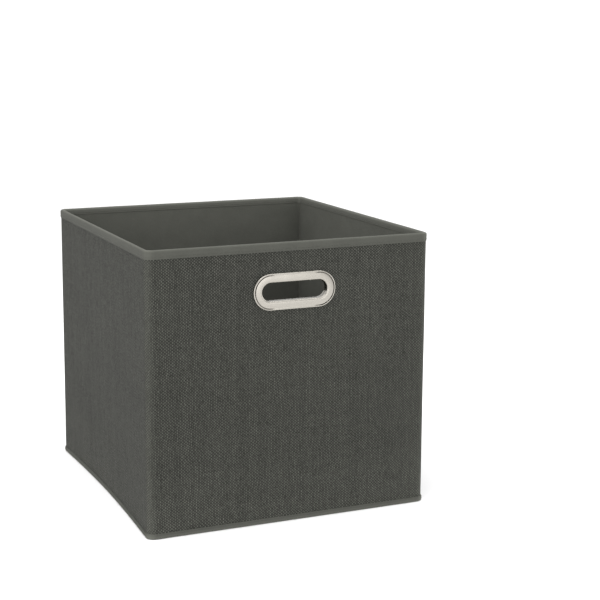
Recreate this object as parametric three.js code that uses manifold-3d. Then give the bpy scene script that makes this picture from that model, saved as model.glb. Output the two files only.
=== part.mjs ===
// A fabric storage bin: four stiffened cloth walls, a loose base board and a metal hand-hole.
// Millimetres, +Z up. The front wall, with the hand-hole, faces -Y. The bin stands on z = 0.

import * as THREE from 'three';
import { mergeVertices } from 'three/addons/utils/BufferGeometryUtils.js';
import Module from 'manifold-3d';

const wasm = await Module();
wasm.setup();

// Outside size, measured over the binding tapes.
const WIDTH = 310;
const DEPTH = 320;
const HEIGHT = 290;
const CORNER_RADIUS = 8.5;
const SHARPEST_CORNER = 0.8;

// The two side walls bow inward: most at the middle of their lower edge, nothing at the rim.
const SIDE_BOW = 4.7;

// Thickness of each layer, and the clearance between two layers that lie on each other.
const GAP = 0.3;
const TAPE = 0.5;
const WOVEN = 0.7;
const BOARD = 1.6;
const LINING = 0.5;
const FLOOR_CLOTH = 0.5;

// How far in from the outside of the tape each layer's outer face lies.
const WOVEN_INSET = TAPE + GAP;
const BOARD_INSET = WOVEN_INSET + WOVEN + GAP;
const LINING_INSET = BOARD_INSET + BOARD + GAP;
const INNER_TAPE_INSET = LINING_INSET + LINING + GAP;
const RIM_THICKNESS = INNER_TAPE_INSET + TAPE;

// Heights of the tapes and of the wall layers' edges.
const RIM_TAPE_OUTSIDE = 9;
const RIM_TAPE_INSIDE = 7;
const FOOT_TAPE_HEIGHT = 5.8;
const FOOT_TAPE_REACH = 5;
const CLOTH_BELOW_TAPE = 1.5;
const BOARD_BELOW_RIM = 3;
const FLOOR_STEP = TAPE + GAP;
const FLOOR_STEP_START = FOOT_TAPE_REACH + 3;
const WALL_BOTTOM = FLOOR_STEP + FLOOR_CLOTH + GAP;
const CLOTH_TOP = HEIGHT - TAPE - CLOTH_BELOW_TAPE;
const BOARD_TOP = HEIGHT - BOARD_BELOW_RIM;

// How rounded the folds of the rim tape and of the foot tape are.
const RIM_FOLD = 2.3;
const FOOT_FOLD = 0.4;

// Stiffening boards stop short of the soft vertical corners.
const BOARD_SHORT_OF_CORNER = CORNER_RADIUS;
const FRONT_BOARD_HALF = WIDTH / 2 - BOARD_SHORT_OF_CORNER;
const SIDE_BOARD_HALF = DEPTH / 2 - BOARD_SHORT_OF_CORNER;

// Hand-hole: a slot with round ends in the front wall, lined by a metal eyelet.
const HOLE_LENGTH = 71;
const HOLE_RADIUS = 9.35;
const HOLE_CENTRE_DOWN = 49.5;
const HOLE_CENTRE_X = 2;
const HOLE_HALF_RUN = HOLE_LENGTH / 2 - HOLE_RADIUS;
const EYELET_SHEET = 0.7;
const EYELET_PROUD = 2;

// The eyelet's flange, outward from the hole's edge: a rounded mouth, an almost flat face, a narrow
// groove and a bead along the outer edge. Depths are measured back from the face's highest line.
const EYELET_MOUTH = 2.4;
const EYELET_MOUTH_DEPTH = 1.8;
const EYELET_BEND_DEPTH = 2.4;
const EYELET_FACE = 7;
const EYELET_FACE_FALL = 0.25;
const EYELET_GROOVE = 7.7;
const EYELET_GROOVE_DEPTH = 1.1;
const EYELET_BEAD = 8.5;
const EYELET_BEAD_RISE = 0.6;
const EYELET_FLANGE = 9.4;
const EYELET_EDGE_DEPTH = 0.9;

// The barrel's end is rolled outward over a washer on the lining.
const ROLL_START = 1.5;
const ROLL_REACH = 2.2;
const WASHER = 0.9;
const WASHER_REACH = 8.4;
const WASHER_INSET = LINING_INSET + LINING + GAP;
const ROLL_INSET = WASHER_INSET + WASHER + GAP;
const SLOT_RADIUS = HOLE_RADIUS + EYELET_SHEET + GAP;
const CUT_REACH = 20;

// Loose base board: a stiff core between two cloth covers.
const BASE_HALF_X = 145;
const BASE_HALF_Y = 152.5;
const BASE_CORNER = 4;
const BASE_COVER = 0.4;
const BASE_CORE = 2.2;
const BASE_BOTTOM = WALL_BOTTOM;
const BASE_TOP = BASE_BOTTOM + 2 * BASE_COVER + 2 * GAP + BASE_CORE;

// Sewing thread, lying on the cloth that it holds.
const THREAD = 0.3;
const THREAD_LIFT = THREAD / 2 + 0.1;
const SEAM_FROM_EDGE = 2;
const BASE_SEAM_INSET = 4;

// How finely curved runs are divided.
const CORNER_STEPS = 6;
const SIDE_STEPS = 12;
const WALL_RISE = 75;
const EYELET_STEPS = 12;
const EYELET_CURVE_STEPS = 3;
const RIM_CURVE_STEPS = 2;
const THREAD_SIDES = 6;

const material = (color, roughness, metalness = 0) =>
  new THREE.MeshStandardMaterial({ color, roughness, metalness });

const MATERIALS = {
  woven: material(0x4b4c49, 0.92),
  lining: material(0x53554f, 0.88),
  tape: material(0x62645a, 0.82),
  board: material(0x8f8778, 0.9),
  metal: material(0xd2cdc1, 0.3, 1),
  thread: material(0x56584f, 0.75),
};

// Six times the signed volume: it is positive where the faces point out.
function signedVolume(points, triangles) {
  let sum = 0;
  for (const [i, j, k] of triangles) {
    const a = new THREE.Vector3(...points[i]);
    const b = new THREE.Vector3(...points[j]);
    const c = new THREE.Vector3(...points[k]);
    sum += a.dot(b.cross(c));
  }
  return sum;
}

// Geometry from a list of [x, y, z] points and a list of triangles, with every face turned outward.
function outwardGeometry(points, triangles) {
  const outward = signedVolume(points, triangles) > 0;
  const faces = outward ? triangles : triangles.map(([i, j, k]) => [i, k, j]);
  const geometry = new THREE.BufferGeometry();
  geometry.setAttribute('position', new THREE.Float32BufferAttribute(points.flat(), 3));
  geometry.setIndex(faces.flat());
  return geometry;
}

// Triangles between two loops of `count` points that start at the indices `here` and `next`.
function strip(here, next, count) {
  const triangles = [];
  for (let i = 0; i < count; i += 1) {
    const j = (i + 1) % count;
    triangles.push([here + i, here + j, next + j], [here + i, next + j, next + i]);
  }
  return triangles;
}

// Triangles that join equal-length loops in a row, open at the first and the last.
const rowOfStrips = (loops) =>
  loops.slice(1).flatMap((loop, row) => strip(row * loop.length, (row + 1) * loop.length, loop.length));

// Joins equal-length loops of points into one skin, and closes the last loop onto the first.
function skinOfLoops(loops) {
  const count = loops[0].length;
  const closing = strip((loops.length - 1) * count, 0, count);
  return outwardGeometry(loops.flat(), [...rowOfStrips(loops), ...closing]);
}

// Equal-length loops joined in a row, with a flat cap on the first and the last.
function closedTube(loops) {
  const count = loops[0].length;
  const last = (loops.length - 1) * count;
  const triangles = rowOfStrips(loops);
  for (let i = 0; i < count / 2 - 1; i += 1) {
    const j = count - 1 - i;
    triangles.push([i, j, i + 1], [i + 1, j, j - 1]);
    triangles.push([last + i, last + i + 1, last + j], [last + i + 1, last + j - 1, last + j]);
  }
  return outwardGeometry(loops.flat(), triangles);
}

// Sideways shift of a point of the walls, which follow the bow of the side walls.
function bowed(x, y, z) {
  const share = Math.cos((Math.PI * y) / DEPTH) * (1 - z / HEIGHT);
  return [x * (1 - (share * SIDE_BOW) / (WIDTH / 2)), y, z];
}

// A rectangle with round corners, as [x, y] points counter-clockwise, divided along its two side runs.
function roundedRectangle(halfX, halfY, radius) {
  const outline = [];
  const corners = [[1, -1, -0.5], [1, 1, 0], [-1, 1, 0.5], [-1, -1, 1]];
  corners.forEach(([signX, signY, start], corner) => {
    for (let i = 0; i <= CORNER_STEPS; i += 1) {
      const angle = Math.PI * (start + (0.5 * i) / CORNER_STEPS);
      outline.push([
        signX * (halfX - radius) + radius * Math.cos(angle),
        signY * (halfY - radius) + radius * Math.sin(angle),
      ]);
    }
    if (corner % 2 === 0) {
      for (let i = 1; i < SIDE_STEPS; i += 1) {
        const along = (2 * i) / SIDE_STEPS - 1;
        outline.push([signX * halfX, signX * along * (halfY - radius)]);
      }
    }
  });
  return outline;
}

// The same rectangle, inset from the outside of the bin and lifted to a height.
function wallLoop([inset, z]) {
  const radius = Math.max(CORNER_RADIUS - inset, SHARPEST_CORNER);
  return roundedRectangle(WIDTH / 2 - inset, DEPTH / 2 - inset, radius).map(([x, y]) => bowed(x, y, z));
}

// Adds points to a closed [inset, z] section so that no edge rises by more than WALL_RISE.
function divideSection(section) {
  return section.flatMap(([inset, z], i) => {
    const [nextInset, nextZ] = section[(i + 1) % section.length];
    const pieces = Math.max(1, Math.ceil(Math.abs(nextZ - z) / WALL_RISE));
    return Array.from({ length: pieces }, (_, k) => [
      inset + ((nextInset - inset) * k) / pieces,
      z + ((nextZ - z) * k) / pieces,
    ]);
  });
}

// A band that runs all the way round the bin, given its closed [inset, z] section.
const wallBand = (section) => skinOfLoops(divideSection(section).map(wallLoop));

const upright = (inset, thickness, bottom, top) => [
  [inset, bottom],
  [inset + thickness, bottom],
  [inset + thickness, top],
  [inset, top],
];

// A thread that runs round a closed loop: `loopAt` turns an [inset, z] pair into the loop.
function threadBand(inset, z, loopAt) {
  const section = Array.from({ length: THREAD_SIDES }, (_, i) => {
    const angle = (2 * Math.PI * i) / THREAD_SIDES;
    return [inset + (THREAD / 2) * Math.cos(angle), z + (THREAD / 2) * Math.sin(angle)];
  });
  return skinOfLoops(section.map(loopAt));
}

// An outline of [x, y] points as a flat plate between two heights.
function plate(outline, bottom, top) {
  const shape = new THREE.Shape(outline.map(([x, y]) => new THREE.Vector2(x, y)));
  const geometry = new THREE.ExtrudeGeometry(shape, { depth: top - bottom, bevelEnabled: false });
  return geometry.translate(0, 0, bottom);
}

// Solids that need a cut go through manifold-3d and back.
function solidOf(geometry) {
  const bare = geometry.clone();
  bare.deleteAttribute('normal');
  bare.deleteAttribute('uv');
  const merged = mergeVertices(bare, 1e-4);
  const vertProperties = Float32Array.from(merged.attributes.position.array);
  const triVerts = Uint32Array.from(merged.index.array);
  return new wasm.Manifold(new wasm.Mesh({ numProp: 3, vertProperties, triVerts }));
}

function geometryOfSolid(solid) {
  const mesh = solid.getMesh();
  const geometry = new THREE.BufferGeometry();
  geometry.setAttribute('position', new THREE.BufferAttribute(mesh.vertProperties, 3));
  geometry.setIndex(new THREE.BufferAttribute(mesh.triVerts, 1));
  return geometry;
}

const cut = (geometry, tool) => geometryOfSolid(solidOf(geometry).subtract(solidOf(tool)));

// Outline of a slot with round ends of the given radius, centred on the hand-hole, as [x, z] points.
function slotOutline(radius) {
  const outline = [];
  [1, -1].forEach((side) => {
    for (let i = 0; i <= EYELET_STEPS; i += 1) {
      const angle = Math.PI * (i / EYELET_STEPS - 0.5);
      outline.push([
        HOLE_CENTRE_X + side * (HOLE_HALF_RUN + radius * Math.cos(angle)),
        HEIGHT - HOLE_CENTRE_DOWN + side * radius * Math.sin(angle),
      ]);
    }
  });
  return outline;
}

// A prism through the front wall that clears the eyelet's barrel.
function slotCutter() {
  const geometry = plate(slotOutline(SLOT_RADIUS), -CUT_REACH, CUT_REACH);
  return geometry.rotateX(Math.PI / 2).translate(0, -DEPTH / 2, 0);
}

// A ring around the hand-hole, given its closed section of [offset from the hole's edge, inset] points.
function holeRing(section) {
  const loops = section.map(([offset, inset]) =>
    slotOutline(HOLE_RADIUS + offset).map(([x, z]) => [x, inset - DEPTH / 2, z]));
  return skinOfLoops(loops);
}

// A flat stiffening board for a wall, bowed with it. `place` turns (along, inset, z) into a point.
function wallBoard(half, place) {
  const rises = Math.ceil((BOARD_TOP - WALL_BOTTOM) / WALL_RISE);
  const heights = Array.from({ length: rises + 1 }, (_, k) =>
    WALL_BOTTOM + ((BOARD_TOP - WALL_BOTTOM) * k) / rises);
  const loops = Array.from({ length: SIDE_STEPS + 1 }, (_, i) => {
    const along = half * ((2 * i) / SIDE_STEPS - 1);
    const outer = heights.map((z) => place(along, BOARD_INSET, z));
    const inner = heights.map((z) => place(along, BOARD_INSET + BOARD, z));
    return [...outer, ...inner.reverse()];
  });
  return closedTube(loops);
}

const outerCloth = () => cut(wallBand(upright(WOVEN_INSET, WOVEN, WALL_BOTTOM, CLOTH_TOP)), slotCutter());

const liningCloth = () => cut(wallBand(upright(LINING_INSET, LINING, WALL_BOTTOM, CLOTH_TOP)), slotCutter());

const backBoard = () => wallBoard(FRONT_BOARD_HALF, (along, inset, z) => bowed(along, DEPTH / 2 - inset, z));

const frontBoard = () => cut(
  wallBoard(FRONT_BOARD_HALF, (along, inset, z) => bowed(along, inset - DEPTH / 2, z)),
  slotCutter(),
);

const sideBoard = (side) =>
  wallBoard(SIDE_BOARD_HALF, (along, inset, z) => bowed(side * (WIDTH / 2 - inset), along, z));

// The floor lies on the ground and steps up at its edge, over the tape that binds it to the walls.
function floorCloth() {
  const under = [[FLOOR_STEP_START, 0], [FOOT_TAPE_REACH + GAP, FLOOR_STEP], [WOVEN_INSET, FLOOR_STEP]];
  const over = under.map(([inset, z]) => [inset, z + FLOOR_CLOTH]).reverse();
  const loops = [...under, ...over].map(wallLoop);
  const count = loops[0].length;
  const points = loops.flat();
  const last = points.length - count;
  const triangles = rowOfStrips(loops);
  const middleUnder = points.push([0, 0, 0]) - 1;
  const middleOver = points.push([0, 0, FLOOR_CLOTH]) - 1;
  for (let i = 0; i < count; i += 1) {
    const j = (i + 1) % count;
    triangles.push([middleUnder, j, i], [middleOver, last + i, last + j]);
  }
  return outwardGeometry(points, triangles);
}

// The tape folded over the rim, covering the edges of every wall layer.
function topBinding() {
  const foldHeight = HEIGHT - RIM_FOLD;
  const innerFold = RIM_THICKNESS - RIM_FOLD;
  const quarter = Math.PI / 2;
  const section = new THREE.Path();
  section.moveTo(0, HEIGHT - RIM_TAPE_OUTSIDE);
  section.absarc(RIM_FOLD, foldHeight, RIM_FOLD, 2 * quarter, quarter, true);
  section.absarc(innerFold, foldHeight, RIM_FOLD, quarter, 0, true);
  section.lineTo(RIM_THICKNESS, HEIGHT - RIM_TAPE_INSIDE);
  section.lineTo(INNER_TAPE_INSET, HEIGHT - RIM_TAPE_INSIDE);
  section.absarc(innerFold, foldHeight, RIM_FOLD - TAPE, 0, quarter, false);
  section.absarc(RIM_FOLD, foldHeight, RIM_FOLD - TAPE, quarter, 2 * quarter, false);
  section.lineTo(TAPE, HEIGHT - RIM_TAPE_OUTSIDE);
  return wallBand(section.getPoints(RIM_CURVE_STEPS).map(({ x, y }) => [x, y]));
}

// The tape that binds the foot of the walls to the floor.
const bottomBinding = () => wallBand([
  [0, FOOT_FOLD],
  [FOOT_FOLD, 0],
  [FOOT_TAPE_REACH, 0],
  [FOOT_TAPE_REACH, TAPE],
  [TAPE, TAPE],
  [TAPE, FOOT_TAPE_HEIGHT],
  [0, FOOT_TAPE_HEIGHT],
]);

// The eyelet's front half: a pressed flange with a bead round its edge, and a barrel rolled over at the back.
function eyeletFront() {
  const seat = WOVEN_INSET - GAP;
  const top = seat - EYELET_PROUD;
  const groove = top + EYELET_GROOVE_DEPTH;
  const underside = top + EYELET_SHEET;
  const rollBack = ROLL_INSET + EYELET_SHEET;
  const section = new THREE.Path();
  section.moveTo(0, top + EYELET_MOUTH_DEPTH);
  section.quadraticCurveTo(0, top, EYELET_MOUTH, top);
  section.lineTo(EYELET_FACE, top + EYELET_FACE_FALL);
  section.quadraticCurveTo(EYELET_GROOVE, top + EYELET_FACE_FALL, EYELET_GROOVE, groove);
  section.quadraticCurveTo(EYELET_BEAD, top - EYELET_BEAD_RISE, EYELET_FLANGE, top + EYELET_EDGE_DEPTH);
  section.lineTo(EYELET_FLANGE, seat);
  section.lineTo(EYELET_FLANGE - EYELET_SHEET, seat);
  section.lineTo(EYELET_GROOVE, groove + EYELET_SHEET);
  section.lineTo(EYELET_FACE, underside + EYELET_FACE_FALL);
  section.lineTo(EYELET_MOUTH, underside);
  section.quadraticCurveTo(EYELET_SHEET, underside, EYELET_SHEET, top + EYELET_BEND_DEPTH);
  section.lineTo(EYELET_SHEET, ROLL_INSET);
  section.lineTo(ROLL_START, ROLL_INSET);
  section.quadraticCurveTo(ROLL_REACH, ROLL_INSET + EYELET_SHEET / 2, ROLL_START, rollBack);
  section.lineTo(EYELET_SHEET, rollBack);
  section.quadraticCurveTo(0, rollBack, 0, ROLL_INSET);
  return holeRing(section.getPoints(EYELET_CURVE_STEPS).map(({ x, y }) => [x, y]));
}

// The eyelet's back half: a flat washer against the lining, held by the rolled barrel.
function eyeletBack() {
  const inner = EYELET_SHEET + GAP;
  const far = WASHER_INSET + WASHER;
  return holeRing([
    [inner, WASHER_INSET],
    [WASHER_REACH - WASHER / 2, WASHER_INSET],
    [WASHER_REACH, WASHER_INSET + WASHER / 2],
    [WASHER_REACH - WASHER / 2, far],
    [inner, far],
  ]);
}

const basePlate = (shrink, bottom, top) =>
  plate(roundedRectangle(BASE_HALF_X - shrink, BASE_HALF_Y - shrink, BASE_CORNER - shrink), bottom, top);

const baseCoverBottom = () => basePlate(0, BASE_BOTTOM, BASE_BOTTOM + BASE_COVER);

function baseBoardCore() {
  const bottom = BASE_BOTTOM + BASE_COVER + GAP;
  return basePlate(BASE_COVER + GAP, bottom, bottom + BASE_CORE);
}

// The top cover is turned down round the core's edge.
function baseCoverTop() {
  const bottom = BASE_BOTTOM + BASE_COVER + GAP;
  const blank = basePlate(0, bottom, BASE_TOP);
  return cut(blank, basePlate(BASE_COVER, bottom - 1, BASE_TOP - BASE_COVER));
}

const outerStitching = (z) => threadBand(-THREAD_LIFT, z, wallLoop);

const innerStitching = () => threadBand(
  RIM_THICKNESS + THREAD_LIFT,
  HEIGHT - RIM_TAPE_INSIDE + SEAM_FROM_EDGE,
  wallLoop,
);

const baseStitching = () => threadBand(BASE_SEAM_INSET, BASE_TOP + THREAD_LIFT, ([inset, z]) =>
  roundedRectangle(BASE_HALF_X - inset, BASE_HALF_Y - inset, 2 * BASE_CORNER - inset)
    .map(([x, y]) => [x, y, z]));

function node(name, geometry, look) {
  const mesh = new THREE.Mesh(geometry, look);
  mesh.name = name;
  return mesh;
}

const bin = new THREE.Group();
bin.name = 'fabric_storage_bin';
bin.add(
  node('outer_cloth', outerCloth(), MATERIALS.woven),
  node('lining_cloth', liningCloth(), MATERIALS.lining),
  node('front_board', frontBoard(), MATERIALS.board),
  node('back_board', backBoard(), MATERIALS.board),
  node('left_board', sideBoard(-1), MATERIALS.board),
  node('right_board', sideBoard(1), MATERIALS.board),
  node('floor_cloth', floorCloth(), MATERIALS.lining),
  node('top_binding', topBinding(), MATERIALS.tape),
  node('bottom_binding', bottomBinding(), MATERIALS.tape),
  node('eyelet_front', eyeletFront(), MATERIALS.metal),
  node('eyelet_back', eyeletBack(), MATERIALS.metal),
  node('top_stitching_outside', outerStitching(HEIGHT - RIM_TAPE_OUTSIDE + SEAM_FROM_EDGE), MATERIALS.thread),
  node('top_stitching_inside', innerStitching(), MATERIALS.thread),
  node('bottom_stitching', outerStitching(FOOT_TAPE_HEIGHT - SEAM_FROM_EDGE / 2), MATERIALS.thread),
);

const baseBoard = new THREE.Group();
baseBoard.add(
  node('base_cover_bottom', baseCoverBottom(), MATERIALS.lining),
  node('base_board_core', baseBoardCore(), MATERIALS.board),
  node('base_cover_top', baseCoverTop(), MATERIALS.lining),
  node('base_stitching', baseStitching(), MATERIALS.thread),
);
bin.add(baseBoard);

// The eyelet stands out further than the stitching at the back, so the walls sit half of that behind the
// origin.
const frontReach = EYELET_PROUD - (WOVEN_INSET - GAP);
const backReach = THREAD_LIFT + THREAD / 2;
bin.position.y = (frontReach - backReach) / 2;

export default bin;
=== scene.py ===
# A fabric storage bin in Blender: woven walls, lining, tapes, stitches, eyelet and loose base board.
# Metres, +Z up, in the CAD part's frame. The front wall, with the hand-hole, faces -Y.

import math

import bmesh
import bpy
import numpy as np
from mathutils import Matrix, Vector


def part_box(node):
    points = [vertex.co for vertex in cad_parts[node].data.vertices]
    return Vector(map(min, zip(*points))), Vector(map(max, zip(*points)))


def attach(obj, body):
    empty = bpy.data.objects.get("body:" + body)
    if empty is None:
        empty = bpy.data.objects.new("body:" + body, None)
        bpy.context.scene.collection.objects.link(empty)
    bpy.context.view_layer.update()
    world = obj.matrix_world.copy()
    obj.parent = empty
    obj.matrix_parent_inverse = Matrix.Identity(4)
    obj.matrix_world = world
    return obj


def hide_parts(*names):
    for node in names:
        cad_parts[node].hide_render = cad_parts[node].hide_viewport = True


MM = 0.001

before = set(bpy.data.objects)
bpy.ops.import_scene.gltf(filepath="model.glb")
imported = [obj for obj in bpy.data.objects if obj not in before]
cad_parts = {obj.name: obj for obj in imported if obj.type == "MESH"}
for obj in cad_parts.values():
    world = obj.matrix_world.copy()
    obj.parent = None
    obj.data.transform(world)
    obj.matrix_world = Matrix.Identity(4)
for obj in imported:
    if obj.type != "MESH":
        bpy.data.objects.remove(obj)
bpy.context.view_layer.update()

# ------------------------------------------------------------------ sizes, worked out from the frame

RIM_LOW, RIM_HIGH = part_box("top_binding")
HEIGHT = RIM_HIGH.z
DEPTH = RIM_HIGH.y - RIM_LOW.y


def inset_of(node):
    """How far a wall layer's outer face lies inside the rim tape's."""
    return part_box(node)[0].x - RIM_LOW.x


# Corners are soft outside and sharper inside. The side walls bow inward, most at the middle of the foot.
CORNER_RADIUS = 8.5 * MM
SHARPEST_CORNER = 0.8 * MM
SIDE_BOW = 4.7 * MM

# Thicknesses of the sheets.
WOVEN = 0.7 * MM
LINING = 0.5 * MM
TAPE = 0.35 * MM
FLOOR_CLOTH = 0.5 * MM
COVER = 0.4 * MM

# The walls' cloths.
WOVEN_INSET = inset_of("outer_cloth")
LINING_INSET = inset_of("lining_cloth")
FLOOR_CLOTH_INSET = inset_of("floor_cloth")
CLOTH_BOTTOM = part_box("outer_cloth")[0].z
CLOTH_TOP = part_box("outer_cloth")[1].z - 0.3 * MM
BACK_SEAM_FROM_CORNER = 9 * MM

# The rim tape covers the rim's whole thickness, in folds of a set radius, and reaches further down outside.
RIM_THICKNESS = 5.0 * MM
RIM_FOLD = 2.35 * MM
RIM_TAPE_INSIDE = 7.0 * MM
RIM_TAPE_FOOT = RIM_LOW.z

# The foot tape reaches in under the walls, and its welt stands out beyond them.
FOOT_TAPE_REACH = 5.0 * MM
FOOT_TAPE_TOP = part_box("bottom_binding")[1].z
FOOT_WELT = 0.5 * MM

BASE_CORNER = 4 * MM
BASE_FOLD = 0.9 * MM

EYELET_LOW, EYELET_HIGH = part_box("eyelet_front")
HOLE_CENTRE_X = (EYELET_LOW.x + EYELET_HIGH.x) / 2
HOLE_CENTRE_Z = (EYELET_LOW.z + EYELET_HIGH.z) / 2
EYELET_FLANGE = 9.4 * MM
HOLE_RADIUS = (EYELET_HIGH.z - EYELET_LOW.z) / 2 - EYELET_FLANGE
HOLE_HALF_RUN = (EYELET_HIGH.x - EYELET_LOW.x - EYELET_HIGH.z + EYELET_LOW.z) / 2
EYELET_SHEET = 0.7 * MM
EYELET_CLEARANCE = 0.3 * MM
SLOT_RADIUS = HOLE_RADIUS + EYELET_SHEET + EYELET_CLEARANCE

STITCH_PITCH = 3.6 * MM
STITCH_LENGTH = 3.0 * MM
THREAD_RADIUS = 0.2 * MM
THREAD_TWIST = 0.55 * MM
SEAM_FROM_EDGE = 2.0 * MM
BASE_SEAM_INSET = 4.0 * MM

OUTER_RIM_SEAM = RIM_TAPE_FOOT + SEAM_FROM_EDGE
INNER_RIM_SEAM = HEIGHT - RIM_TAPE_INSIDE + SEAM_FROM_EDGE
FOOT_SEAM = FOOT_TAPE_TOP - SEAM_FROM_EDGE / 2

# The weave: its yarns' pitches, how many yarns it wanders by, how far its yarns dip where they cross, and
# how many thick places a yarn has in each metre.
WARP_PITCH = 1.69 * MM
WEFT_PITCH = 1.45 * MM
WEAVE_WANDER = 1.6
YARN_DIP = 0.55
SLUBS_PER_METRE = 130

# How far apart the points of each mesh lie, and how many steps its corners have.
CLOTH_STEP = 4 * MM
WOVEN_CORNER_STEPS = 8
LINING_CORNER_STEPS = 12
RIM_TAPE_STEP = 1.05 * MM
FOOT_TAPE_STEP = 0.9 * MM
TAPE_CORNER_STEPS = 16
SLOT_STEPS = 24
EYELET_STEPS = 40
EYELET_RUN_STEPS = 12
BASE_STEP = 6 * MM
BASE_CORNER_STEPS = 6
FLOOR_CORNER_STEPS = 4
STITCH_SIDES = 8
STITCH_POINTS = 9


# ------------------------------------------------------------------ outlines and swept sheets


class Outline:
    """A rectangle with round corners, which sheets are swept round. It starts at the back right corner."""

    SIGN_X = (1, 1, -1, -1, -1, -1, 1, 1, 1)
    SIGN_Y = (1, 1, 1, 1, -1, -1, -1, -1, 1)
    QUARTER_TURNS = (0, 1, 1, 2, 2, 3, 3, 4, 4)

    def __init__(self, low, high, corner, bow=0.0):
        self.half = ((high.x - low.x) / 2, (high.y - low.y) / 2)
        self.middle = ((high.x + low.x) / 2, (high.y + low.y) / 2)
        self.corner = corner
        self.bow = bow
        arc = corner * math.pi / 2
        runs = [2 * (side - corner) for side in self.half]
        pieces = [arc, runs[0], arc, runs[1]] * 2
        self.milestones = np.concatenate([[0], np.cumsum(pieces)])
        self.length = self.milestones[-1]

    def columns(self, step, corner_steps):
        """Lengths round the outline, finer at the corners, without the closing one."""
        lengths = []
        for piece, (start, end) in enumerate(zip(self.milestones, self.milestones[1:])):
            count = corner_steps if piece % 2 == 0 else math.ceil((end - start) / step)
            lengths.append(np.linspace(start, end, count, endpoint=False))
        return np.concatenate(lengths)

    def corner_distance(self, u):
        """How far each length lies from the middle of the nearest corner."""
        middles = (self.milestones[0::2][:4] + self.milestones[1::2]) / 2
        apart = np.abs(np.subtract.outer(u, middles))
        return np.minimum(apart, self.length - apart).min(axis=-1)

    def at(self, u, inset, z):
        """Points at lengths u round the outline, at an inset from it and a height."""
        radius = np.maximum(self.corner - inset, SHARPEST_CORNER)
        angle = np.interp(u, self.milestones, self.QUARTER_TURNS) * math.pi / 2
        reach_x = self.half[0] - inset - radius
        reach_y = self.half[1] - inset - radius
        x = np.interp(u, self.milestones, self.SIGN_X) * reach_x + radius * np.cos(angle)
        y = np.interp(u, self.milestones, self.SIGN_Y) * reach_y + radius * np.sin(angle)
        share = np.cos(math.pi * y / DEPTH) * (1 - z / HEIGHT)
        x = x * (1 - share * self.bow / self.half[0])
        return np.stack(np.broadcast_arrays(self.middle[0] + x, self.middle[1] + y, z), axis=-1)


WALLS = Outline(RIM_LOW, RIM_HIGH, CORNER_RADIUS, SIDE_BOW)
BASE = Outline(*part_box("base_cover_bottom"), BASE_CORNER)


def ripples(u, v, outline, turns, wave, count, seed):
    """Gentle unevenness from -1 to 1 over a swept sheet, which joins up all the way round."""
    random = np.random.default_rng(seed)
    total = np.zeros(np.broadcast(u, v).shape)
    for _ in range(count):
        around = random.integers(turns[0], turns[1]) * random.choice((-1, 1))
        upward = 1 / (wave * random.uniform(0.7, 1.6))
        phase = random.uniform(0, 2 * math.pi)
        total += np.sin(2 * math.pi * (around * u / outline.length + upward * v) + phase)
    return total / count


def divided(line, step):
    """A polyline with points added so that none lie further apart than step."""
    points = [line[0]]
    for start, end in zip(line, line[1:]):
        count = max(1, math.ceil(math.dist(start, end) / step))
        points += [tuple(np.array(start) + (np.array(end) - start) * (i + 1) / count) for i in range(count)]
    return points


def arc(centre, radius, start, end, steps):
    """Points on an arc in an (inset, z) section, between two angles in degrees."""
    angles = np.radians(np.linspace(start, end, steps + 1))
    return [(centre[0] + radius * math.cos(a), centre[1] + radius * math.sin(a)) for a in angles]


def quadratic(start, control, end, steps):
    """Points on a quadratic curve after its start."""
    points = []
    for t in np.linspace(0, 1, steps + 1)[1:]:
        weights = ((1 - t) ** 2, 2 * t * (1 - t), t ** 2)
        points.append(tuple(sum(w * p[i] for w, p in zip(weights, (start, control, end))) for i in (0, 1)))
    return points


def section_normals(line):
    """Directions from a section's face into the sheet, with mitres that keep its thickness."""
    line = np.array(line)
    along = np.diff(line, axis=0)
    along /= np.linalg.norm(along, axis=1)[:, None]
    before = np.vstack([along[:1], along])
    after = np.vstack([along, along[-1:]])
    mean = before + after
    mean /= np.linalg.norm(mean, axis=1)[:, None]
    mitre = 1 / np.maximum(np.sum(mean * after, axis=1), 0.5)
    return np.stack([mean[:, 1], -mean[:, 0]], axis=1) * mitre[:, None]


def new_object(name, points, faces, face_uvs, sharp_above=40):
    """A smooth-shaded mesh object whose UV map holds lengths in metres."""
    mesh = bpy.data.meshes.new(name)
    mesh.from_pydata(points.tolist(), [], faces)
    uv_map = mesh.uv_layers.new(name="Cloth")
    uv_map.data.foreach_set("uv", np.asarray(face_uvs, np.float32).ravel())
    mesh.shade_smooth()
    mesh.set_sharp_from_angle(angle=math.radians(sharp_above))
    mesh.validate()
    piece = bpy.data.objects.new(name, mesh)
    bpy.context.scene.collection.objects.link(piece)
    return piece


def ring_mesh(name, grid, u, v, wrap_u, wrap_v=None, sharp_above=40):
    """A closed tube of rows: grid[row, column] are points, and both the rows and the columns close up."""
    rows, columns = grid.shape[:2]
    index = np.arange(rows * columns).reshape(rows, columns)
    next_row = np.roll(index, -1, axis=0)
    faces = np.stack([index, np.roll(index, -1, 1), np.roll(next_row, -1, 1), next_row], axis=-1)
    u_end = np.append(u[1:], wrap_u)
    v_end = np.append(v[1:], v[0] if wrap_v is None else wrap_v)
    corners = [(u, v), (u_end, v), (u_end, v_end), (u, v_end)]
    uvs = np.stack([np.stack(np.broadcast_arrays(a[None, :], b[:, None]), -1) for a, b in corners], axis=2)
    return new_object(name, grid.reshape(-1, 3), faces.reshape(-1, 4).tolist(), uvs, sharp_above)


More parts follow.
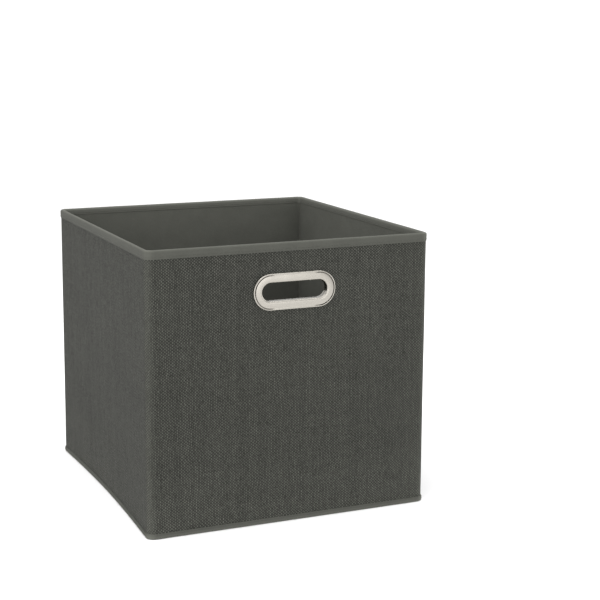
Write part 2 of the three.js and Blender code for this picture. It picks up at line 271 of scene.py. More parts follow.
def swept_sheet(name, outline, line, thickness, columns, relief=None):
    """A sheet of even thickness swept all the way round an outline, given its face's (inset, z) section."""
    line = np.array(line)
    inward = section_normals(line)
    along = np.concatenate([[0], np.cumsum(np.linalg.norm(np.diff(line, axis=0), axis=1))])
    lift = np.zeros((len(line), len(columns)))
    if relief:
        lift = relief(columns[None, :], along[:, None], line[:, 1][:, None])
    skins = []
    for depth in (0, thickness):
        inset = line[:, 0][:, None] + (depth - lift) * inward[:, 0][:, None]
        z = line[:, 1][:, None] + (depth - lift) * inward[:, 1][:, None]
        skins.append(outline.at(columns[None, :], inset, z))
    grid = np.concatenate([skins[0], skins[1][::-1]])
    v = np.concatenate([along, along[::-1]])
    return ring_mesh(name, grid, columns, v, outline.length)


def spread_sheet(name, outline, line, thickness, columns, relief=None):
    """A flat sheet with a shaped edge: its upper face's section runs from its edge to its middle."""
    line = np.array(line)
    inward = section_normals(line)
    lift = np.zeros((len(line), len(columns)))
    skins = []
    flats = []
    middles = []
    for depth in (0, thickness):
        inset = line[:, 0][:, None] + depth * inward[:, 0][:, None]
        z = line[:, 1][:, None] + depth * inward[:, 1][:, None]
        if relief:
            bare = outline.at(columns[None, :], inset, z)
            lift = relief(bare[..., 0], bare[..., 1], inset)
        skins.append(outline.at(columns[None, :], inset, z + lift))
        flats.append(outline.at(columns[None, :], inset, z)[..., :2])
        middles.append((*outline.middle, z[-1, 0] + (lift[-1].mean() if relief else 0)))
    rows = [skins[0][::-1], skins[1]]
    grid = np.concatenate(rows)
    flat = np.concatenate([flats[0][::-1], flats[1]])
    count = grid.shape[1]
    index = np.arange(grid.shape[0] * count).reshape(-1, count)
    a, b = index[:-1], index[1:]
    faces = np.stack([a, np.roll(a, -1, 1), np.roll(b, -1, 1), b], axis=-1).reshape(-1, 4).tolist()
    points = np.concatenate([grid.reshape(-1, 3), np.array(middles)])
    planar = np.concatenate([flat.reshape(-1, 2), np.array(middles)[:, :2]])
    top, bottom = len(points) - 2, len(points) - 1
    for i in range(count):
        j = (i + 1) % count
        faces.append([index[0, i], top, index[0, j]])
        faces.append([index[-1, j], bottom, index[-1, i]])
    uvs = np.concatenate([planar[face] for face in faces])
    piece = new_object(name, points, faces, uvs)
    outward = piece.data.polygons[-2].normal.z > 0
    if not outward:
        piece.data.flip_normals()
    return piece


def face_outward(piece):
    """Turns a closed mesh's faces to point out."""
    work = bmesh.new()
    work.from_mesh(piece.data)
    if work.calc_volume(signed=True) < 0:
        bmesh.ops.reverse_faces(work, faces=work.faces)
        work.to_mesh(piece.data)
    work.free()


# ------------------------------------------------------------------ the hand-hole


def slot_outline(radius, steps, run_steps=1):
    """(x, z) points round a slot with round ends, centred on the hand-hole."""
    points = []
    for side in (1, -1):
        for angle in np.radians(np.linspace(-90, 90, steps + 1)):
            points.append((HOLE_CENTRE_X + side * (HOLE_HALF_RUN + radius * math.cos(angle)),
                           HOLE_CENTRE_Z + side * radius * math.sin(angle)))
        for i in range(1, run_steps):
            share = 1 - 2 * i / run_steps
            points.append((HOLE_CENTRE_X + side * share * HOLE_HALF_RUN, HOLE_CENTRE_Z + side * radius))
    return np.array(points)


def cut_slot(piece):
    """Cuts the hand-hole's slot through a wall sheet."""
    outline = slot_outline(SLOT_RADIUS, SLOT_STEPS)
    work = bmesh.new()
    past = 20 * MM
    rings = [[work.verts.new((x, RIM_LOW.y + dy, z)) for x, z in outline] for dy in (-past, past)]
    work.faces.new(rings[0])
    work.faces.new(rings[1][::-1])
    for i in range(len(outline)):
        j = (i + 1) % len(outline)
        work.faces.new([rings[0][j], rings[0][i], rings[1][i], rings[1][j]])
    bmesh.ops.recalc_face_normals(work, faces=work.faces)
    mesh = bpy.data.meshes.new("slot_cutter")
    work.to_mesh(mesh)
    work.free()
    cutter = bpy.data.objects.new("slot_cutter", mesh)
    bpy.context.scene.collection.objects.link(cutter)
    modifier = piece.modifiers.new("slot", "BOOLEAN")
    modifier.operation = "DIFFERENCE"
    modifier.solver = "EXACT"
    modifier.object = cutter
    evaluated = piece.evaluated_get(bpy.context.evaluated_depsgraph_get())
    cut_mesh = bpy.data.meshes.new_from_object(evaluated)
    piece.modifiers.clear()
    piece.data = cut_mesh
    bpy.data.objects.remove(cutter)


def hole_ring(name, section, runs_section=None):
    """A ring round the hand-hole, given its closed section of (offset from the hole's edge, y) points.
    The straight runs may have a section of their own, with the same offsets."""
    if runs_section is None:
        runs_section = section
    changeover = 4 * MM
    loops = []
    for (offset, end_y), (_, run_y) in zip(section, runs_section):
        ring = slot_outline(HOLE_RADIUS + offset, EYELET_STEPS, EYELET_RUN_STEPS)
        past_run = np.abs(ring[:, 0] - HOLE_CENTRE_X) - HOLE_HALF_RUN
        y = run_y + (end_y - run_y) * np.clip(past_run / changeover + 0.5, 0, 1)
        loops.append(np.stack([ring[:, 0], y, ring[:, 1]], axis=-1))
    grid = np.array(loops)
    lengths = np.linalg.norm(np.diff(grid[0], axis=0, append=grid[0][:1]), axis=1)
    u = np.concatenate([[0], np.cumsum(lengths)])
    closed = np.vstack([section, section[:1]])
    v = np.concatenate([[0], np.cumsum(np.linalg.norm(np.diff(closed, axis=0), axis=1))])
    ring = ring_mesh(name, grid, u[:-1], v[:-1], u[-1], v[-1], sharp_above=35)
    face_outward(ring)
    return ring


# ------------------------------------------------------------------ materials


CLOTH_TINT = (1.0, 1.017, 0.885)
CLOTH_GLOSS = 0.06
WARP_GREYS = (0.037, 0.101)
WEFT_GREYS = (0.016, 0.039)
LINING_GREYS = (0.067, 0.113)
RIM_TAPE_GREYS = (0.055, 0.086)
FOOT_TAPE_GREYS = (0.053, 0.083)
THREAD_GREYS = (0.045, 0.095)
BOARD_DARK = (0.20, 0.175, 0.14, 1)
BOARD_LIGHT = (0.36, 0.33, 0.27, 1)
BOARD_FLECK = (0.12, 0.10, 0.08, 1)
NICKEL_SMUDGED = (0.338, 0.320, 0.287, 1)
NICKEL_CLEAN = (0.39, 0.372, 0.336, 1)
NICKEL_PAINTED_SHADE = (0.14, 0.13, 0.115, 1)
PAPER_DARK = (0.9, 0.9, 0.9, 1)
PAPER_LIGHT = (0.93, 0.93, 0.93, 1)

# Woven walls: how far the flattened, worn weave and the painted highlight reach from a corner's middle, how
# far the painted shade between the yarns eases off there, how high the painted light reaches up from the
# foot, how light that painted light and the painted corner highlight make the cloth, and the grey that the
# worn corner weave turns to.
CORNER_WEAR_AND_HIGHLIGHT = (2 * MM, 8 * MM)
CORNER_HOLLOW_SHADE_EASING = (2 * MM, 7 * MM)
FOOT_PAINTED_LIGHT_REACH = 70 * MM
FOOT_PAINTED_LIGHT = 1.22
CORNER_PAINTED_HIGHLIGHT = 1.16
WORN_GREY = 0.065

# Where the eyelet's groove lies, round its section from the hand-hole's mouth.
GROOVE_PLACE = 9.6 * MM

# Painted light on the tapes' folds: a painted highlight along the rim's fold and painted light on the rim
# tape's inner leg, and painted light from below on the foot tape's lower fold. For each: the place along the
# tape's width, how far the painted light reaches, how light it is beside the tape's lighter grey, and how
# much of it goes on past the fold.
RIM_FOLD_PLACE = HEIGHT - RIM_TAPE_FOOT - RIM_FOLD + 0.5 * math.pi * RIM_FOLD
RIM_FOLD_HIGHLIGHT = (RIM_FOLD_PLACE, 2.6 * MM, 1.4, 0.55)
FOOT_FOLD_PAINTED_LIGHT = (FOOT_TAPE_REACH, 3.5 * MM, 1.8, 0.0)


class Shader:
    """A material's node tree, with a short method for each kind of node."""

    def __init__(self, name, metallic=0.0):
        self.material = bpy.data.materials.new(name)
        self.material.use_nodes = True
        self.tree = self.material.node_tree
        self.surface = next(n for n in self.tree.nodes if n.type == "BSDF_PRINCIPLED")
        self.set("Metallic", metallic)

    def set(self, socket, value):
        self.connect(value, self.surface.inputs[socket])

    def connect(self, value, socket):
        if isinstance(value, bpy.types.NodeSocket):
            self.tree.links.new(value, socket)
        else:
            socket.default_value = value

    def node(self, kind, inputs, output=0, **settings):
        node = self.tree.nodes.new(kind)
        for key, value in settings.items():
            setattr(node, key, value)
        for key, value in inputs.items():
            self.connect(value, node.inputs[key])
        return node.outputs[output]

    def math(self, operation, *values):
        return self.node("ShaderNodeMath", dict(enumerate(values)), operation=operation)

    def scaled(self, value, low, high, to_low=0.0, to_high=1.0):
        inputs = {"Value": value, "From Min": low, "From Max": high, "To Min": to_low, "To Max": to_high}
        return self.node("ShaderNodeMapRange", inputs)

    def vector(self, x, y, z=0.0):
        return self.node("ShaderNodeCombineXYZ", {0: x, 1: y, 2: z})

    def noise(self, vector, scale, detail=2.0, roughness=0.5, distortion=0.0):
        inputs = {"Vector": vector, "Scale": scale, "Detail": detail, "Roughness": roughness,
                  "Distortion": distortion}
        return self.node("ShaderNodeTexNoise", inputs)

    def shifted(self, vector, amount):
        inputs = {0: vector, 1: (amount, amount, amount)}
        return self.node("ShaderNodeVectorMath", inputs, operation="ADD")

    def random(self, number):
        return self.node("ShaderNodeTexWhiteNoise", {"W": number}, noise_dimensions="1D")

    def mixed(self, share, first, second, blend="MIX"):
        node = self.tree.nodes.new("ShaderNodeMix")
        node.data_type = "RGBA"
        node.blend_type = blend
        self.connect(share, node.inputs["Factor"])
        self.connect(first, node.inputs[6])
        self.connect(second, node.inputs[7])
        return node.outputs[2]

    def separate(self, vector):
        """A vector's three parts."""
        split = self.tree.nodes.new("ShaderNodeSeparateXYZ")
        self.connect(vector, split.inputs[0])
        return split.outputs[:3]

    def cloth_coordinates(self):
        """The lengths across and up the cloth, in metres, and both as one vector."""
        place = self.node("ShaderNodeUVMap", {}, uv_map="Cloth")
        across, up, _ = self.separate(place)
        return across, up, place

    def from_wall_corner(self, across):
        """How far a point of a cloth wrapped round the walls lies from the nearest corner, in metres."""
        nearest = 1.0
        for start, end in zip(WALLS.milestones[0::2], WALLS.milestones[1::2]):
            apart = self.math("ABSOLUTE", self.math("SUBTRACT", across, (start + end) / 2))
            nearest = self.math("MINIMUM", apart, nearest)
        return nearest

    def object_coordinates(self):
        return self.node("ShaderNodeTexCoord", {}, output=3)

    def bump(self, height, distance, strength):
        normal = self.node("ShaderNodeBump", {"Strength": strength, "Distance": distance, "Height": height})
        self.set("Normal", normal)

    def multiplied(self, colour, share):
        """A colour made darker or lighter by a share of itself."""
        return self.mixed(1.0, colour, self.vector(share, share, share), "MULTIPLY")

    def cloth_gloss(self, sheen, sheen_roughness):
        """Cloth reflects little at a shallow angle, and its loose fibres catch some light."""
        self.set("Specular IOR Level", CLOTH_GLOSS)
        self.set("Sheen Weight", sheen)
        self.set("Sheen Roughness", sheen_roughness)


def grey(value):
    """The bin's warm dark grey, at a given lightness."""
    return tuple(value * tint for tint in CLOTH_TINT) + (1.0,)


def woven_material():
    """A coarse plain weave: slubbed yarns that pass over and under each other, with painted shade between
    the yarns, painted light toward the foot and a painted highlight down the corners, where the weave is
    also flattened and worn.
    """
    shader = Shader("woven_cloth_coarse")
    across, up, place = shader.cloth_coordinates()

    def yarn(position, pitch, travel, seed):
        """A wave across the yarns, each yarn's round top, and its unevenness along its length."""
        noise = shader.noise(shader.shifted(place, seed), 30, 2, 0.6)
        drift = shader.scaled(noise, 0, 1, -WEAVE_WANDER, WEAVE_WANDER)
        count = shader.math("ADD", shader.math("DIVIDE", position, pitch), drift)
        index = shader.math("FLOOR", count)
        wave = shader.math("SINE", shader.math("MULTIPLY", count, math.pi))
        own = shader.scaled(shader.random(shader.math("ADD", index, seed)), 0, 1, -0.12, 0.12)
        slub = shader.noise(shader.vector(shader.math("MULTIPLY", index, 3.7), travel, seed), 1, 2, 0.7)
        round_top = shader.math("POWER", shader.math("ABSOLUTE", wave), 0.6)
        body = shader.math("MULTIPLY", round_top, shader.scaled(slub, 0.3, 0.7, 0.8, 1.2))
        return wave, body, shader.math("ADD", own, slub)

    along_warp = shader.math("MULTIPLY", up, SLUBS_PER_METRE)
    along_weft = shader.math("MULTIPLY", across, SLUBS_PER_METRE)
    warp_wave, warp_body, warp_shade = yarn(across, WARP_PITCH, along_warp, 11)
    weft_wave, weft_body, weft_shade = yarn(up, WEFT_PITCH, along_weft, 47)
    crossing = shader.math("MULTIPLY", shader.math("MULTIPLY", warp_wave, weft_wave), YARN_DIP)
    warp_height = shader.math("ADD", warp_body, crossing)
    weft_height = shader.math("SUBTRACT", weft_body, crossing)
    height = shader.math("MAXIMUM", warp_height, weft_height)
    on_top = shader.math("GREATER_THAN", warp_height, weft_height)

    fibres = shader.noise(place, 2600, 3, 0.6)
    knots = shader.noise(place, 480, 2, 0.6)
    patches = shader.noise(place, 18, 3, 0.5)
    uneven = shader.scaled(fibres, 0, 1, -0.2, 0.2)
    uneven = shader.math("ADD", uneven, shader.scaled(patches, 0, 1, -0.15, 0.15))
    uneven = shader.math("ADD", uneven, shader.scaled(knots, 0.25, 0.75, -0.35, 0.35))
    warp_colour = shader.mixed(shader.math("ADD", warp_shade, uneven), *map(grey, WARP_GREYS))
    weft_colour = shader.mixed(shader.math("ADD", weft_shade, uneven), *map(grey, WEFT_GREYS))
    colour = shader.mixed(on_top, weft_colour, warp_colour)

    from_corner = shader.from_wall_corner(across)
    colour = shader.mixed(shader.scaled(from_corner, *CORNER_WEAR_AND_HIGHLIGHT, 0.3, 0), colour, grey(WORN_GREY))
    # Painted shade: the colour darkens between the yarns, less so at the corners.
    shade_in_hollows = shader.scaled(from_corner, *CORNER_HOLLOW_SHADE_EASING, 0.6, 0.36)
    shade = shader.scaled(height, 0.35, 1.15, shade_in_hollows, 1.0)
    # Painted light: the cloth is lighter toward the foot, in place of light from the floor.
    shade = shader.math("MULTIPLY", shade, shader.scaled(up, 0, FOOT_PAINTED_LIGHT_REACH, FOOT_PAINTED_LIGHT, 1.0))
    # Painted highlight: the cloth is lighter down each vertical corner.
    shade = shader.math("MULTIPLY", shade, shader.scaled(from_corner, *CORNER_WEAR_AND_HIGHLIGHT, CORNER_PAINTED_HIGHLIGHT, 1.0))
    shader.set("Base Color", shader.multiplied(colour, shade))
    shader.set("Roughness", shader.scaled(height, 0, 1.4, 1.0, 0.82))
    shader.cloth_gloss(0.03, 0.5)
    dents = shader.noise(shader.vector(across, shader.math("MULTIPLY", up, 0.6)), 150, 2, 0.5)
    relief = shader.math("ADD", height, shader.math("MULTIPLY", fibres, 0.3))
    relief = shader.math("ADD", relief, shader.math("MULTIPLY", dents, 1.2))
    shader.bump(relief, 0.3 * MM, 0.9)
    return shader.material


def nonwoven(name, greys, roughness, emboss_pitch, fold_light=None):
    """Pressed fibres, finely embossed. The last argument paints light along a fold, as (place, width,
    lightness, share past it).
    """
    dark, light = greys
    shader = Shader(name)
    across, up, place = shader.cloth_coordinates()
    fibres = shader.noise(place, 900, 6, 0.7, 1.5)
    strands = shader.noise(shader.vector(shader.math("MULTIPLY", across, 3), up), 420, 4, 0.65, 2.0)
    clouds = shader.noise(place, 35, 4, 0.6)
    column = shader.math("DIVIDE", across, emboss_pitch)
    row = shader.math("DIVIDE", up, emboss_pitch)
    turned = shader.math("MULTIPLY", shader.math("SINE", shader.math("MULTIPLY", column, math.tau)),
                         shader.math("SINE", shader.math("MULTIPLY", row, math.tau)))
    dots = shader.scaled(turned, 0.35, 0.85)
    shade = shader.math("ADD", shader.math("MULTIPLY", fibres, 0.5), shader.math("MULTIPLY", strands, 0.3))
    shade = shader.math("ADD", shade, shader.math("MULTIPLY", clouds, 0.35))
    # Painted shade: the colour darkens a little in the embossed pits.
    shade = shader.math("SUBTRACT", shade, shader.math("MULTIPLY", dots, 0.05))
    colour = shader.mixed(shader.scaled(shade, 0.3, 0.85), grey(dark), grey(light))
    if fold_light:
        # Painted highlight along the fold, and painted light past it.
        fold, width, fold_lightness, light_past_fold = fold_light
        apart = shader.math("ABSOLUTE", shader.math("SUBTRACT", up, fold))
        fold_light_share = shader.math("MULTIPLY", shader.scaled(apart, 0, width, 1, 0), fibres)
        fold_light_share = shader.math("MAXIMUM", fold_light_share, shader.scaled(up, fold, fold + 2 * MM, 0, light_past_fold))
        # Painted highlight at the tape's corners.
        corner_highlight = shader.scaled(shader.from_wall_corner(across), *CORNER_WEAR_AND_HIGHLIGHT, 0.4, 0)
        fold_light_share = shader.math("ADD", fold_light_share, corner_highlight)
        colour = shader.mixed(fold_light_share, colour, grey(fold_lightness * light))
    shader.set("Base Color", colour)
    shader.set("Roughness", shader.scaled(fibres, 0.2, 0.8, roughness + 0.06, roughness - 0.06))
    shader.cloth_gloss(0.03, 0.4)
    relief = shader.math("SUBTRACT", shader.math("ADD", fibres, strands), shader.math("MULTIPLY", dots, 0.8))
    shader.bump(relief, 0.06 * MM, 0.8)
    return shader.material


def greyboard_material():
    """Recycled board: matt, with flecks of fibre."""
    shader = Shader("greyboard")
    place = shader.object_coordinates()
    pulp = shader.noise(place, 1400, 5, 0.7)
    flecks = shader.scaled(shader.noise(place, 420, 2, 0.5, 1.0), 0.62, 0.72)
    colour = shader.mixed(pulp, BOARD_DARK, BOARD_LIGHT)
    shader.set("Base Color", shader.mixed(flecks, colour, BOARD_FLECK))
    shader.set("Roughness", shader.scaled(pulp, 0, 1, 0.98, 0.86))
    shader.bump(pulp, 0.08 * MM, 0.6)
    return shader.material


def nickel_material():
    """Satin nickel plate with faint brushing and handling marks, with painted shade inside the hand-hole's
    barrel and in the groove round the eyelet."""
    shader = Shader("nickel_satin", metallic=1.0)
    place = shader.object_coordinates()
    x, y, z = shader.separate(place)
    streaks = shader.noise(shader.vector(shader.math("MULTIPLY", x, 0.04), y, z), 2500, 3, 0.6)
    smudges = shader.noise(place, 90, 3, 0.55)
    tint = shader.math("ADD", shader.math("MULTIPLY", streaks, 0.4), shader.math("MULTIPLY", smudges, 0.6))
    polished = shader.mixed(tint, NICKEL_SMUDGED, NICKEL_CLEAN)

    front = EYELET_LOW.y
    past_mouth = shader.scaled(y, front + 2.6 * MM, front + 4.4 * MM)
    washer_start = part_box("eyelet_back")[0].y
    before_washer = shader.scaled(y, washer_start - 0.4 * MM, washer_start, 1, 0)
    inside = shader.math("MULTIPLY", past_mouth, before_washer)
    round_section = shader.cloth_coordinates()[1]
    from_groove = shader.math("ABSOLUTE", shader.math("SUBTRACT", round_section, GROOVE_PLACE))
    sunk = shader.scaled(y, front + 0.3 * MM, front + 0.7 * MM)
    in_groove = shader.math("MULTIPLY", sunk, shader.scaled(from_groove, 1.2 * MM, 1.6 * MM, 1, 0))
    # Painted shade inside the barrel and in the groove.
    painted_shade = shader.math("MAXIMUM", inside, shader.math("MULTIPLY", in_groove, before_washer))
    shader.set("Base Color", shader.mixed(painted_shade, polished, NICKEL_PAINTED_SHADE))
    shader.set("Roughness", shader.scaled(tint, 0.3, 0.7, 0.3, 0.2))
    shader.bump(streaks, 0.01 * MM, 0.35)
    return shader.material


def thread_material():
    """Two plies twisted round each other, with painted shade in the grooves between them."""
    shader = Shader("sewing_thread")
    along, around, place = shader.cloth_coordinates()
    turns = shader.math("DIVIDE", along, THREAD_TWIST)
    twist = shader.math("ADD", turns, shader.math("MULTIPLY", around, 2))
    ply = shader.math("ABSOLUTE", shader.math("SINE", shader.math("MULTIPLY", twist, math.pi)))
    fuzz = shader.noise(place, 4000, 2)
    # Painted shade in the grooves between the plies.
    shade = shader.math("ADD", shader.math("MULTIPLY", ply, 0.7), shader.math("MULTIPLY", fuzz, 0.3))
    shader.set("Base Color", shader.mixed(shade, *map(grey, THREAD_GREYS)))
    shader.set("Roughness", shader.scaled(fuzz, 0, 1, 0.75, 0.6))
    shader.cloth_gloss(0.1, 0.4)
    shader.bump(ply, 0.08 * MM, 0.8)
    return shader.material


def floor_material():
    """Pale, matt studio paper."""
    shader = Shader("studio_floor")
    mottle = shader.noise(shader.object_coordinates(), 6, 3)
    shader.set("Base Color", shader.mixed(mottle, PAPER_DARK, PAPER_LIGHT))
    shader.set("Roughness", shader.scaled(mottle, 0, 1, 0.95, 0.85))
    shader.bump(mottle, 0.2 * MM, 0.2)
    return shader.material


WOVEN_LOOK = woven_material()
LINING_LOOK = nonwoven("lining_nonwoven", LINING_GREYS, 0.88, 1.6 * MM)
RIM_TAPE_LOOK = nonwoven("rim_tape", RIM_TAPE_GREYS, 0.8, 1.1 * MM, RIM_FOLD_HIGHLIGHT)
FOOT_TAPE_LOOK = nonwoven("foot_tape", FOOT_TAPE_GREYS, 0.8, 1.1 * MM, FOOT_FOLD_PAINTED_LIGHT)
GREYBOARD_LOOK = greyboard_material()
NICKEL_LOOK = nickel_material()
THREAD_LOOK = thread_material()


def finished(piece, look, slot, body, *nodes):
    """Gives a piece its material, its body and the CAD nodes that it stands for. Its record slot is not
    used.
    """
    piece.data.materials.clear()
    piece.data.materials.append(look)
    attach(piece, body)
    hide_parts(*nodes)


# ------------------------------------------------------------------ cloths and tapes of the walls

WALL_BOARDS = ["front_board", "back_board", "left_board", "right_board"]


def hole_distance(u, z, outline):
    """How far points of the front wall lie outside the eyelet's edge. It is large on the other walls."""
    x = outline.at(u, 0.0, HEIGHT)[..., 0]
    beyond = np.maximum(np.abs(x - HOLE_CENTRE_X) - HOLE_HALF_RUN, 0)
    apart = np.hypot(beyond, z - HOLE_CENTRE_Z) - HOLE_RADIUS - EYELET_FLANGE
    on_front = (u > outline.milestones[5]) & (u < outline.milestones[6])
    return np.where(on_front, apart, 1.0)


def near(distance, width):
    """1 at a line and 0 a few widths away from it."""
    return np.exp(-(distance / width) ** 2)


def woven_relief(u, along, z):
    """The cloth lies flat on its boards, puffs out a little where they end, and dips along its back seam."""
    waves = 0.5 + 0.5 * ripples(u, along, WALLS, turns=(4, 16), wave=0.11, count=6, seed=3)
    corner = near(WALLS.corner_distance(u), 5 * MM) * (0.5 + 0.5 * np.sin(z / (23 * MM)))
    seam = near(u - WALLS.milestones[1] - BACK_SEAM_FROM_CORNER, 1.1 * MM)
    seated = np.clip(1 - hole_distance(u, z, WALLS) / (5 * MM), 0, 1)
    return 0.16 * MM * waves + 0.1 * MM * corner + 0.1 * MM * seated - 0.5 * MM * seam


def outer_cloth():
    seam = WALLS.milestones[1] + BACK_SEAM_FROM_CORNER
    by_seam = np.linspace(seam - 4 * MM, seam + 4 * MM, 17)
    columns = np.unique(np.concatenate([WALLS.columns(CLOTH_STEP, WOVEN_CORNER_STEPS), by_seam]).round(6))
    line = divided([(WOVEN_INSET, CLOTH_BOTTOM), (WOVEN_INSET, CLOTH_TOP)], CLOTH_STEP)
    cloth = swept_sheet("outer_cloth_woven", WALLS, line, WOVEN, columns, woven_relief)
    face_outward(cloth)
    cut_slot(cloth)
    finished(cloth, WOVEN_LOOK, "woven_cloth", "bin", "outer_cloth")


def lining_relief(u, along, z):
    """The lining hangs a little loose from its boards, held at rim, foot and eyelet, and is tucked into
    the corners."""
    held = np.clip(z / (20 * MM), 0, 1)
    free = np.clip(hole_distance(u, z, WALLS) / (20 * MM), 0, 1)
    waves = 0.5 + 0.5 * ripples(u, along, WALLS, turns=(5, 22), wave=0.16, count=6, seed=8)
    flat_of_wall = np.clip(WALLS.corner_distance(u) / (15 * MM), 0, 1)
    under_tape = np.clip(1 - (HEIGHT - RIM_TAPE_INSIDE - z) / (20 * MM), 0, 1)
    tucked = near(WALLS.corner_distance(u), 2.5 * MM) * (1 - under_tape) * held
    return 1.6 * MM * tucked - 0.45 * MM * np.maximum(held * free * waves * flat_of_wall, under_tape)


def lining_cloth():
    columns = WALLS.columns(CLOTH_STEP, LINING_CORNER_STEPS)
    line = divided([(LINING_INSET, CLOTH_BOTTOM), (LINING_INSET, CLOTH_TOP)], CLOTH_STEP)
    cloth = swept_sheet("lining_cloth_nonwoven", WALLS, line, LINING, columns, lining_relief)
    face_outward(cloth)
    cut_slot(cloth)
    finished(cloth, LINING_LOOK, "lining", "bin", "lining_cloth")


def stitch_pucker(u, z, seam_z, depth):
    """The sewing thread pulls a tape in at each needle hole."""
    pull = 0.6 + 0.4 * np.cos(2 * math.pi * u / STITCH_PITCH)
    return -depth * pull * near(z - seam_z, 0.9 * MM)


def rim_tape():
    """The tape folded over the rim."""
    inside_foot = HEIGHT - RIM_TAPE_INSIDE
    fold_z = HEIGHT - RIM_FOLD
    line = divided([(0, RIM_TAPE_FOOT), (0, fold_z)], 0.6 * MM)
    line += arc((RIM_FOLD, fold_z), RIM_FOLD, 180, 90, 8)[1:]
    line += arc((RIM_THICKNESS - RIM_FOLD, fold_z), RIM_FOLD, 90, 0, 8)
    line += divided([(RIM_THICKNESS, fold_z), (RIM_THICKNESS, inside_foot)], 0.8 * MM)[1:]

    def relief(u, along, z):
        outside = along < HEIGHT - RIM_TAPE_FOOT
        seam = np.where(outside, OUTER_RIM_SEAM, INNER_RIM_SEAM)
        pressed = near(z - RIM_TAPE_FOOT, 1.2 * MM) * outside
        pucker = stitch_pucker(u, z, seam, np.where(outside, 0.12 * MM, 0.02 * MM))
        waves = ripples(u, along, WALLS, turns=(8, 40), wave=0.05, count=6, seed=21)
        crumple = ripples(u, along, WALLS, turns=(90, 260), wave=0.012, count=8, seed=22)
        corner = near(WALLS.corner_distance(u), 8 * MM)
        return pucker + 0.08 * MM * waves + (0.04 * MM + 0.1 * MM * corner) * crumple - 0.2 * MM * pressed

    columns = WALLS.columns(RIM_TAPE_STEP, TAPE_CORNER_STEPS)
    tape = swept_sheet("rim_tape_folded", WALLS, line, TAPE, columns, relief)
    face_outward(tape)
    finished(tape, RIM_TAPE_LOOK, "tape", "bin", "top_binding")


def foot_tape():
    """The tape that binds the foot of the walls to the floor cloth: a soft welt, folded under them."""
    turn = (2 * MM, 0)
    welt = (-FOOT_WELT, 0.45 * FOOT_TAPE_TOP)
    line = divided([(FOOT_TAPE_REACH, 0), turn], 1.5 * MM)
    line += quadratic(turn, (-FOOT_WELT, 0), welt, 8)
    line += quadratic(welt, (-FOOT_WELT, 0.85 * FOOT_TAPE_TOP), (0.25 * MM, FOOT_TAPE_TOP), 8)

    def relief(u, along, z):
        upright = np.clip(z / (1.5 * MM), 0, 1)
        waves = ripples(u, along, WALLS, turns=(8, 60), wave=0.04, count=6, seed=31)
        return upright * (stitch_pucker(u, z, FOOT_SEAM, 0.1 * MM) + 0.12 * MM * waves)

    columns = WALLS.columns(FOOT_TAPE_STEP, TAPE_CORNER_STEPS)
    tape = swept_sheet("foot_tape_folded", WALLS, line, TAPE, columns, relief)
    face_outward(tape)
    finished(tape, FOOT_TAPE_LOOK, "tape", "bin", "bottom_binding")


def floor_cloth():
    """The cloth that closes the bin's bottom. It steps up at its edge, over the foot tape."""
    low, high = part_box("floor_cloth")
    step_start = FOOT_TAPE_REACH + 3 * MM
    step_end = FOOT_TAPE_REACH + 0.3 * MM
    floor_top = low.z + FLOOR_CLOTH
    line = [(FLOOR_CLOTH_INSET, high.z), (step_end, high.z), (step_start, floor_top)]
    line += [(inset, floor_top) for inset in np.linspace(20 * MM, 140 * MM, 9)]
    columns = WALLS.columns(2 * CLOTH_STEP, FLOOR_CORNER_STEPS)
    cloth = spread_sheet("floor_cloth_sheet", WALLS, line, FLOOR_CLOTH, columns)
    finished(cloth, LINING_LOOK, "lining", "bin", "floor_cloth")


# ------------------------------------------------------------------ stitches


def stitches(name, outline, inset_and_z, facing):
    """A row of separate stitches round an outline. facing is the (inset, z) direction out of the cloth."""
    count = round(outline.length / STITCH_PITCH)
    pitch = outline.length / count
    along = np.linspace(0, 1, STITCH_POINTS)
    rise = THREAD_RADIUS * (1.5 * np.sqrt(np.sin(math.pi * along)) - 0.9)
    radius = THREAD_RADIUS * np.sqrt(np.clip(1 - (2 * along - 1) ** 6, 0.15, 1))
    angles = np.linspace(0, 2 * math.pi, STITCH_SIDES, endpoint=False)
    inset = inset_and_z[0] + rise * facing[0]
    z = inset_and_z[1] + rise * facing[1]
    ends = [0, STITCH_LENGTH]
    points = []
    faces = []
    uvs = []
    for stitch in range(count):
        u = (stitch * pitch + (pitch - STITCH_LENGTH) / 2 + STITCH_LENGTH * along) % outline.length
        centre = outline.at(u, inset, z)
        away = outline.at(u, inset + facing[0] * MM, z + facing[1] * MM) - centre
        away /= np.linalg.norm(away, axis=1)[:, None]
        aside = np.cross(np.gradient(centre, axis=0), away)
        aside /= np.linalg.norm(aside, axis=1)[:, None]
        spokes = (away[:, None] * np.cos(angles)[None, :, None]
                  + aside[:, None] * np.sin(angles)[None, :, None])
        points.append((centre[:, None] + radius[:, None, None] * spokes).reshape(-1, 3))
        first = stitch * STITCH_POINTS * STITCH_SIDES
        for k in range(STITCH_POINTS - 1):
            a = first + k * STITCH_SIDES
            b = a + STITCH_SIDES
            s0 = STITCH_LENGTH * along[k]
            s1 = STITCH_LENGTH * along[k + 1]
            for i in range(STITCH_SIDES):
                j = (i + 1) % STITCH_SIDES
                t0 = i / STITCH_SIDES
                t1 = (i + 1) / STITCH_SIDES
                faces.append([a + i, b + i, b + j, a + j])
                uvs += [(s0, t0), (s1, t0), (s1, t1), (s0, t1)]
        last = first + (STITCH_POINTS - 1) * STITCH_SIDES
        faces.append([first + i for i in range(STITCH_SIDES)])
        faces.append([last + i for i in reversed(range(STITCH_SIDES))])
        uvs += [(end, i / STITCH_SIDES) for end in ends for i in range(STITCH_SIDES)]
    piece = new_object(name, np.concatenate(points), faces, uvs, sharp_above=60)
    face_outward(piece)
    return piece


